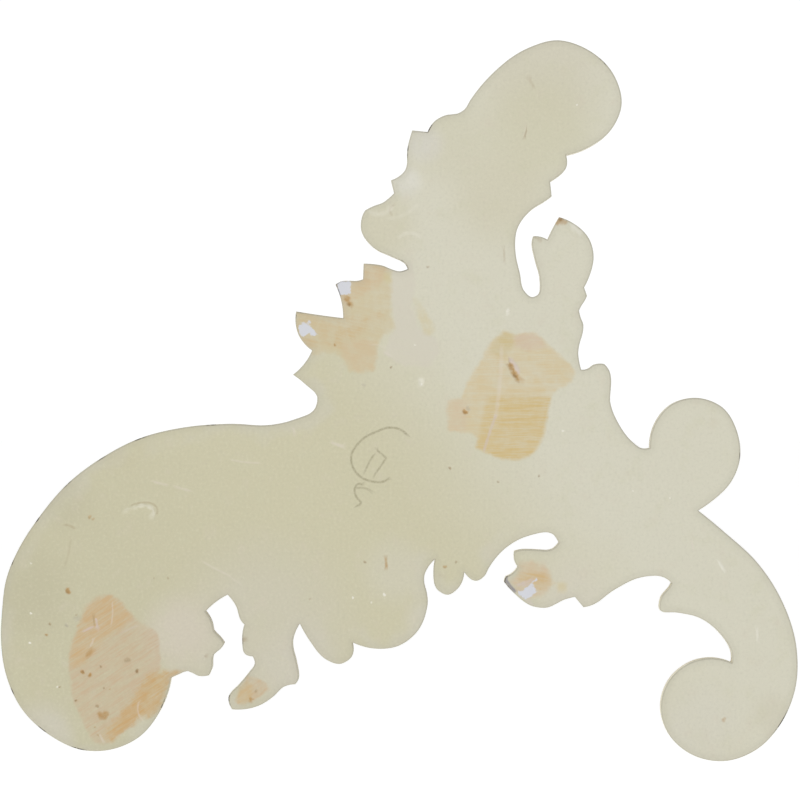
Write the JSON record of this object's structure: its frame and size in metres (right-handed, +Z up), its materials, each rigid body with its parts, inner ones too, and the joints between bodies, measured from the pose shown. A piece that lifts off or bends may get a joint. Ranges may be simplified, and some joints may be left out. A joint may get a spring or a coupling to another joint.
{
  "type": "scroll onlay",
  "caption": "Rococo scroll onlay with C-scrolls, volutes and acanthus leaves carved in front and a flat back for fixing to furniture, a frame or a panel.",
  "frame": {"origin": "On the flat back, near the middle of its area", "axes": "+Y is the outward normal of the flat back; the carved front faces -Y; +Z is up, with the top arm above; the widest spread of the scrolls runs along X"},
  "size_m": [0.3, 0.018, 0.2714],
  "materials": {
    "cream_casting": "cream cast resin, satin, lightly stained on the back"
  },
  "bodies": {
    "root": {"scroll_onlay": "cream_casting"}
  },
  "joints": []
}
